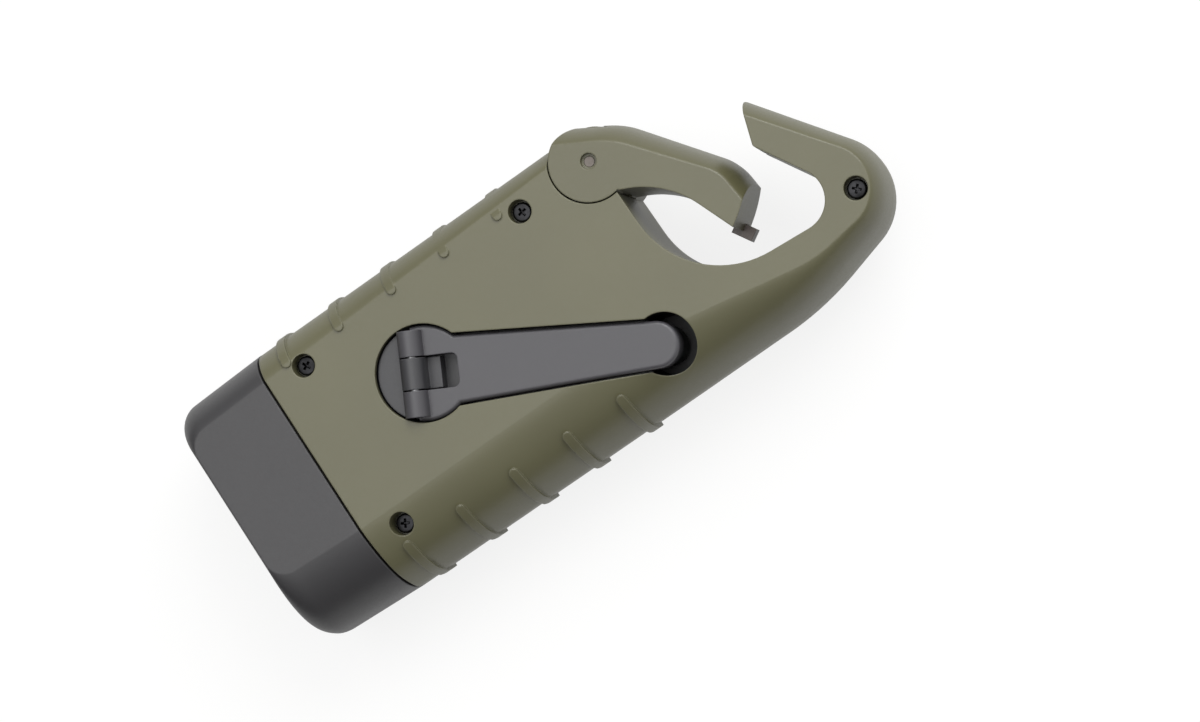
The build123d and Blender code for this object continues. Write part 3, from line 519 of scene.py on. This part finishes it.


# the second colour of each moulded plastic is its painted edge highlight
class Finish(Enum):
    """Every finish on the flashlight."""

    # pigmented ABS, moulded with a fine matt grain: dull olive with soft highlights
    OLIVE_ABS = MouldedPlastic(
        "abs_moulded_olive", "5f5d43", "8c8b74", 0.4, 0.25, 0.16, 0.4
    )
    # the gate is the same ABS, moulded apart and a touch smoother
    GATE_ABS = MouldedPlastic(
        "abs_moulded_olive_gate", "5c5a40", "8c8b74", 0.38, 0.25, 0.14, 0.4
    )
    # carbon-filled ABS with a satin tool finish: near black with a broad grey sheen
    CHARCOAL_ABS = MouldedPlastic(
        "abs_moulded_charcoal", "323133", "5a595b", 0.42, 0.25, 0.2, 0.5
    )
    # glass-filled nylon, satin: dark slate grey, takes the wear of the crank
    SLATE_NYLON = MouldedPlastic(
        "nylon_moulded_slate", "464549", "75747a", 0.42, 0.25, 0.16, 0.3
    )
    # the hub disc is the same nylon, coloured darker than the arm
    DARK_NYLON = MouldedPlastic(
        "nylon_moulded_dark_slate", "353538", "5e5e62", 0.42, 0.25, 0.16, 0.3
    )
    # plain black ABS for tray and knob
    BLACK_ABS = MouldedPlastic(
        "abs_moulded_black", "0c0c0d", "262628", 0.42, 0.25, 0.2, 0.3
    )
    # soft rubber of the button and the lens ring: matt, dusty black
    RUBBER = MouldedPlastic(
        "silicone_rubber_black", "232324", "3c3c3c", 0.7, 0.3, 0.3, 0.4
    )
    # brown acetal latch: waxy and dull
    BROWN_ACETAL = MouldedPlastic(
        "acetal_moulded_brown", "4a3d36", "6a5b50", 0.4, 0.3, 0.15, 0.2
    )
    # natural acetal gears: waxy off-white
    WHITE_ACETAL = MouldedPlastic(
        "acetal_moulded_natural", "dcd9cb", "ece9df", 0.35, 0.3, 0.1, 0.1
    )
    # white lamp board under matt solder mask
    WHITE_BOARD = CircuitBoard("fibre_board_white_mask", "d9dad6", "c6c8c2", 3.0)
    # green control board
    GREEN_BOARD = CircuitBoard("fibre_board_green_mask", "1d5a34", "2f7a48", 2.2)
    # moulded epoxy of chips, diodes and switch
    EPOXY = MouldedPlastic(
        "epoxy_moulded_black", "1f1f20", "2f2f30", 0.45, 0.2, 0.2, 0.1
    )
    # clear epoxy lamps with a faint milkiness
    LAMP_EPOXY = ClearPlastic("epoxy_cast_clear", "f2f4f4", 0.06, 0.8)
    # polished polycarbonate windows
    POLYCARBONATE = ClearPlastic("polycarbonate_polished", "f7f9f9", 0.03, 1.4)
    # vacuum metallised reflector: bright aluminium on smooth plastic
    METALLISED = Metal(
        "aluminium_vacuum_metallised", "dfe1e4", "cfd2d6", 0.14, 0.3, (1.0, 1.0, 1.0)
    )
    # dull steel pin of the gate, deep in its hole; its darker colour is painted shade
    DARK_STEEL = Metal("steel_dull_pin_painted_shade", "77716c", "5b5550", 0.45)
    # plain and nickel plated steel of pins, axles and cells
    STEEL = Metal("steel_turned_bright", "b9babd", "9a9a9a", 0.3)
    NICKEL = Metal("steel_nickel_plated", "c9c8c3", "b0aea6", 0.24)
    # black oxide screws: dark with a cold glint on the cross
    BLACK_OXIDE = Metal(
        "steel_black_oxide", "38383a", "1f1f20", 0.3, 0.1, (1.0, 1.0, 1.0), 0.15
    )
    # turned brass bush and pinion
    BRASS = Metal("brass_turned", "c79f4e", "a5803a", 0.28)
    # lacquered copper winding: fine round-the-coil lines
    COPPER = Metal(
        "copper_enamelled_winding", "b5683a", "8f4d29", 0.3, 0.3, (1.0, 1.0, 12.0)
    )
    # sintered ferrite magnet: dull dark grey, slightly gritty
    FERRITE = MouldedPlastic(
        "ferrite_sintered_grey", "45454a", "5f5f63", 0.6, 0.3, 0.4, 0.15
    )
    # shrink film round the cells
    SHRINK_FILM = MouldedPlastic(
        "pvc_shrink_film_blue", "23427f", "3c5c98", 0.25, 0.9, 0.2, 0.2
    )
    # soft vinyl insulation
    RED_VINYL = MouldedPlastic(
        "vinyl_extruded_red", "9c2a26", "b44a44", 0.45, 0.5, 0.2, 0.1
    )
    BLACK_VINYL = MouldedPlastic(
        "vinyl_extruded_black", "222222", "3a3a3a", 0.45, 0.5, 0.2, 0.1
    )
    SOLAR = SolarCell()


@dataclass
class FinishShelf:
    """Builds each finish once and hands it out."""

    made: dict[Finish, bpy.types.Material] = field(default_factory=dict)

    def get(self, finish: Finish) -> bpy.types.Material:
        """The material of a finish."""
        if finish not in self.made:
            self.made[finish] = finish.value.build()
        return self.made[finish]

    def dress(self, node: str, finish: Finish) -> None:
        """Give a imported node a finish.

        Args:
            node: the node's name.
            finish: its finish.
        """
        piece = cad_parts[node]
        if not piece.material_slots:
            piece.data.materials.append(self.get(finish))
        for slot in piece.material_slots:
            slot.material = self.get(finish)
        LOG.info("%s: %s", node, finish.value.name)


# ---------------------------------------------------------------- sub-assemblies


def deselect() -> None:
    """Leave edit mode and select nothing."""
    if bpy.context.object and bpy.context.object.mode != "OBJECT":
        bpy.ops.object.mode_set(mode="OBJECT")
    bpy.ops.object.select_all(action="DESELECT")


def take(piece: bpy.types.Object) -> None:
    """Make one piece the only selected and active one."""
    deselect()
    piece.select_set(True)
    bpy.context.view_layer.objects.active = piece


def settle(piece: bpy.types.Object) -> None:
    """Move a piece's place into its mesh."""
    take(piece)
    bpy.ops.object.transform_apply(location=True, rotation=True, scale=True)


def edit_underside(piece: bpy.types.Object) -> None:
    """Enter edit mode with only the faces that look down selected."""
    bpy.ops.object.mode_set(mode="EDIT")
    bpy.ops.mesh.select_mode(type="FACE")
    bpy.ops.mesh.select_all(action="DESELECT")
    bpy.ops.object.mode_set(mode="OBJECT")
    for face in piece.data.polygons:
        face.select = face.normal.z < LOOKS_DOWN
    bpy.ops.object.mode_set(mode="EDIT")


@dataclass
class Nodes:
    """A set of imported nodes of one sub-assembly, with the finish of each."""

    title: str
    finishes: dict[str, Finish]

    def dress(self, shelf: FinishShelf) -> None:
        """Give every node its finish.

        Args:
            shelf: where the finishes come from.
        """
        for node, finish in self.finishes.items():
            shelf.dress(node, finish)
        LOG.info("%s: %d nodes dressed", self.title, len(self.finishes))


@dataclass
class CaseScrews:
    """Four sunk pan head screws with a tapered cross recess, in millimetres.

    Each place gives x, y, the height of the head's seat and that of the tip.
    """

    places: tuple[tuple[float, float, float, float], ...] = (
        (41.8, -18.8, 29.4, 7.0),
        (42.7, 17.0, 27.6, 7.0),
        (-9.7, -19.3, 29.4, 7.0),
        (-64.7, 13.3, 29.4, 13.8),
    )
    head_radius: float = 1.9
    head_height: float = 1.6
    shank_radius: float = 1.1
    cross_depth: float = 1.15
    cross_reach: float = 1.25
    cross_width: float = 0.62
    cross_taper: float = 0.45
    tip_taper: float = 0.6
    crown: float = 0.42
    first_turn: float = 25.0
    turn_step: float = 37.0

    def cutter(self) -> bpy.types.Object:
        """The tapered cross that forms the recess.

        Returns:
            The cutter, centred on the head's top.
        """
        bars = []
        for turn in (0.0, math.pi / 2):
            deselect()
            bpy.ops.mesh.primitive_cube_add(size=1.0, location=(0, 0, 0))
            bar = bpy.context.object
            bar.dimensions = (
                2 * self.cross_reach * MM,
                self.cross_width * MM,
                2 * self.cross_depth * MM,
            )
            bar.rotation_euler[2] = turn
            settle(bar)
            edit_underside(bar)
            bpy.ops.transform.resize(value=(self.cross_taper, self.cross_taper, 1.0))
            bpy.ops.object.mode_set(mode="OBJECT")
            bars.append(bar)
        take(bars[0])
        union = bars[0].modifiers.new("union", "BOOLEAN")
        union.operation = "UNION"
        union.object = bars[1]
        bpy.ops.object.modifier_apply(modifier=union.name)
        bpy.data.objects.remove(bars[1])
        return bars[0]

    def pattern(self, shank: float) -> bpy.types.Object:
        """One screw with its head's top at zero.

        Args:
            shank: length below the head in millimetres.

        Returns:
            The screw.
        """
        deselect()
        bpy.ops.mesh.primitive_cylinder_add(
            vertices=48,
            radius=self.head_radius * MM,
            depth=self.head_height * MM,
            location=(0, 0, -self.head_height / 2 * MM),
        )
        screw = bpy.context.object
        settle(screw)
        edit_underside(screw)
        bpy.ops.mesh.inset(thickness=(self.head_radius - self.shank_radius) * MM)
        bpy.ops.mesh.extrude_region_move(
            TRANSFORM_OT_translate={"value": (0, 0, -shank * MM)}
        )
        bpy.ops.transform.resize(value=(self.tip_taper, self.tip_taper, 1.0))
        bpy.ops.object.mode_set(mode="OBJECT")
        crown = screw.modifiers.new("crown", "BEVEL")
        crown.width = self.crown * MM
        crown.segments = 4
        crown.limit_method = "ANGLE"
        crown.angle_limit = math.radians(50)
        bpy.ops.object.modifier_apply(modifier=crown.name)
        cross = self.cutter()
        take(screw)
        cut = screw.modifiers.new("cross", "BOOLEAN")
        cut.operation = "DIFFERENCE"
        cut.object = cross
        bpy.ops.object.modifier_apply(modifier=cut.name)
        bpy.data.objects.remove(cross)
        bpy.ops.object.shade_smooth_by_angle(angle=math.radians(35))
        return screw

    def build(self, shelf: FinishShelf) -> None:
        """Make the four screws.

        Args:
            shelf: where the finish comes from.
        """
        for index, (x, y, seat, tip) in enumerate(self.places):
            screw = self.pattern(seat - tip)
            screw.name = f"case_screw_{index + 1}"
            turn = self.first_turn + self.turn_step * index
            screw.rotation_euler[2] = math.radians(turn)
            screw.location = (x * MM, y * MM, (seat + self.head_height) * MM)
            settle(screw)
            screw.data.materials.clear()
            screw.data.materials.append(shelf.get(Finish.BLACK_OXIDE))
            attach(screw, "case")
            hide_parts("case_screws")
        LOG.info("case screws: %d made", len(self.places))


# ---------------------------------------------------------------- studio


@dataclass(frozen=True)
class SoftBox:
    """A square soft lamp that faces the object. Lengths in metres."""

    name: str
    place: tuple[float, float, float]
    size: float
    watts: float

    def build(self) -> None:
        """Add the lamp."""
        data = bpy.data.lights.new(self.name, "AREA")
        data.size = self.size
        data.energy = self.watts
        lamp = bpy.data.objects.new(self.name, data)
        bpy.context.scene.collection.objects.link(lamp)
        lamp.location = self.place
        lamp.rotation_mode = "QUATERNION"
        lamp.rotation_quaternion = Vector(self.place).to_track_quat("Z", "Y")


@dataclass
class Studio:
    """Pale floor, soft light and the camera. Lengths in metres."""

    # level says where the object's -x points in the picture: right and up
    target: tuple[float, float, float] = (-0.0036, 0.0104, 0.012)
    toward: tuple[float, float, float] = (-0.15, 0.12, 1.0)
    distance: float = 0.6
    focal_mm: float = 92.1
    level: tuple[float, float] = (0.8246, 0.566)
    lamps: tuple[SoftBox, ...] = (
        SoftBox("key_soft_box", (-0.6, -0.45, 0.8), 0.6, 6.0),
        SoftBox("top_soft_box", (0.15, -0.2, 1.1), 0.8, 2.7),
    )
    floor_size: float = 6.0
    floor_drop: float = 0.0001
    paper: str = "f4f4f2"
    # the seen floor glows by this share, near the object and far from it
    floor_glow: float = 1.03
    glow_share: tuple[float, float] = (0.8, 1.0)
    shadow_reach: tuple[float, float] = (0.12, 0.4)
    # the floor's grey for light that bounces, and its share of white in a reflection
    floor_bounce: float = 0.16
    floor_mirrored: float = 0.6
    # where the room's light comes from, and the cosine to it where the light starts
    light_from: tuple[float, float, float] = (-0.5, -0.32, 0.8)
    light_start: float = -0.2
    side_light: float = 0.95
    side_shade: float = 0.08

    def camera(self) -> None:
        """Place the camera at the photograph's viewing angle."""
        back = Vector(self.toward).normalized()
        across = Vector((-1, 0, 0))
        across = (across - back * across.dot(back)).normalized()
        other = back.cross(across)
        roll = math.atan2(self.level[1], self.level[0])
        right = across * math.cos(roll) - other * math.sin(roll)
        up = across * math.sin(roll) + other * math.cos(roll)
        data = bpy.data.cameras.new("camera")
        data.lens = self.focal_mm
        data.sensor_width = 36.0
        data.clip_start = 0.01
        camera = bpy.data.objects.new("camera", data)
        bpy.context.scene.collection.objects.link(camera)
        turn = Matrix((right, up, back)).transposed().to_4x4()
        place = Matrix.Translation(Vector(self.target) + back * self.distance)
        camera.matrix_world = place @ turn
        bpy.context.scene.camera = camera

    def seen(self, tree: bpy.types.NodeTree, mirrored: float) -> bpy.types.NodeSocket:
        """1 where the camera or a look through glass meets the surface.

        Args:
            tree: the node tree.
            mirrored: the mask's value in a reflection.

        Returns:
            The mask.
        """
        path = add(tree, "ShaderNodeLightPath")
        direct = calculate(
            tree,
            "MAXIMUM",
            path.outputs["Is Camera Ray"],
            path.outputs["Is Transmission Ray"],
        )
        reflected = calculate(tree, "MULTIPLY", path.outputs["Is Glossy Ray"], mirrored)
        return calculate(tree, "MAXIMUM", direct, reflected)

    def floor(self) -> None:
        """A pale floor that keeps the object's shadow."""
        deselect()
        bpy.ops.mesh.primitive_plane_add(
            size=self.floor_size, location=(0, 0, -self.floor_drop)
        )
        floor = bpy.context.object
        floor.name = "floor"
        settle(floor)
        material = bpy.data.materials.new("matt_paper_white")
        material.use_nodes = True
        tree = material.node_tree
        tree.nodes.clear()
        seen = self.seen(tree, self.floor_mirrored)
        tone = blend(tree, seen, grey(self.floor_bounce), linear(self.paper))
        paper = add(tree, "ShaderNodeBsdfDiffuse", {"Color": tone})
        sockets = {"Color": grey(1.0), "Strength": self.floor_glow}
        glow = add(tree, "ShaderNodeEmission", sockets)
        sockets = {0: object_place(tree)}
        away = add(tree, "ShaderNodeVectorMath", sockets, operation="LENGTH")
        white = map_range(
            tree, away.outputs["Value"], self.shadow_reach, self.glow_share
        )
        share = calculate(tree, "MULTIPLY", seen, white)
        mixed = add(
            tree,
            "ShaderNodeMixShader",
            {0: share, 1: paper.outputs["BSDF"], 2: glow.outputs["Emission"]},
        )
        add(tree, "ShaderNodeOutputMaterial", {"Surface": mixed.outputs["Shader"]})
        floor.data.materials.append(material)

    def world(self) -> None:
        """White surroundings, seen as white and lighting the object softly."""
        world = bpy.data.worlds.new("soft_room")
        world.use_nodes = True
        tree = world.node_tree
        tree.nodes.clear()
        way = add(tree, "ShaderNodeTexCoord").outputs["Generated"]
        lit = add(
            tree,
            "ShaderNodeVectorMath",
            {0: way, 1: self.light_from},
            operation="DOT_PRODUCT",
        )
        soft = map_range(
            tree,
            lit.outputs["Value"],
            (self.light_start, 1.0),
            (self.side_shade, self.side_light),
        )
        strength = add(
            tree,
            "ShaderNodeMix",
            {"Factor": self.seen(tree, 0.0), "A": soft, "B": 1.0},
        )
        sky = add(
            tree,
            "ShaderNodeBackground",
            {"Color": grey(1.0), "Strength": strength.outputs["Result"]},
        )
        add(tree, "ShaderNodeOutputWorld", {"Surface": sky.outputs["Background"]})
        bpy.context.scene.world = world

    def build(self) -> None:
        """Set up floor, world, lamps, camera and view."""
        self.floor()
        self.world()
        for lamp in self.lamps:
            lamp.build()
        self.camera()
        bpy.context.scene.view_settings.view_transform = "Standard"
        LOG.info("studio: floor, world, two soft boxes and camera")


# ---------------------------------------------------------------- the flashlight

CASE = Nodes(
    "case",
    {
        "front_shell": Finish.OLIVE_ABS,
        "crank_tray": Finish.BLACK_ABS,
        "rear_shell": Finish.OLIVE_ABS,
        "switch_button": Finish.RUBBER,
        "solar_panel": Finish.SOLAR,
        "solar_window": Finish.POLYCARBONATE,
    },
)
HEAD = Nodes(
    "head",
    {
        "head_bezel": Finish.CHARCOAL_ABS,
        "lens": Finish.POLYCARBONATE,
        "lens_seal": Finish.RUBBER,
        "reflector": Finish.METALLISED,
        "led_board": Finish.WHITE_BOARD,
        "leds": Finish.LAMP_EPOXY,
    },
)
CRANK = Nodes(
    "crank",
    {
        "crank_disc": Finish.DARK_NYLON,
        "crank_arm": Finish.SLATE_NYLON,
        "crank_knob": Finish.BLACK_ABS,
        "crank_hinge_pin": Finish.STEEL,
        "knob_pin": Finish.STEEL,
        "crank_shaft": Finish.STEEL,
        "shaft_bush": Finish.BRASS,
        "shaft_clip": Finish.STEEL,
    },
)
GATE = Nodes(
    "gate",
    {
        "gate": Finish.GATE_ABS,
        "gate_latch": Finish.BROWN_ACETAL,
        # the pin's darker steel is painted shade
        "gate_pin": Finish.DARK_STEEL,
        "gate_spring": Finish.STEEL,
    },
)
DRIVE = Nodes(
    "gear train and generator",
    {
        "crank_gear": Finish.WHITE_ACETAL,
        "first_gear": Finish.WHITE_ACETAL,
        "second_gear": Finish.WHITE_ACETAL,
        "first_axle": Finish.STEEL,
        "second_axle": Finish.STEEL,
        "rotor_shaft": Finish.STEEL,
        "rotor_magnet": Finish.FERRITE,
        "rotor_pinion": Finish.BRASS,
        "stator_core": Finish.STEEL,
        "stator_coil": Finish.COPPER,
    },
)
ELECTRICS = Nodes(
    "electrics",
    {
        "control_board": Finish.GREEN_BOARD,
        "board_parts": Finish.EPOXY,
        "board_screws": Finish.STEEL,
        "tact_switch": Finish.EPOXY,
        "battery_cells": Finish.NICKEL,
        "battery_wrap": Finish.SHRINK_FILM,
        "led_wires": Finish.RED_VINYL,
        "battery_wires": Finish.RED_VINYL,
        "coil_wires": Finish.BLACK_VINYL,
        "solar_wires": Finish.BLACK_VINYL,
    },
)


def main() -> None:
    """Dress and complete the flashlight, then light it."""
    logging.basicConfig(level=logging.INFO, format="%(message)s")
    shelf = FinishShelf()
    for assembly in (CASE, HEAD, CRANK, GATE, DRIVE, ELECTRICS):
        assembly.dress(shelf)
    CaseScrews().build(shelf)
    Studio().build()
    deselect()


if __name__ == "__main__":
    main()
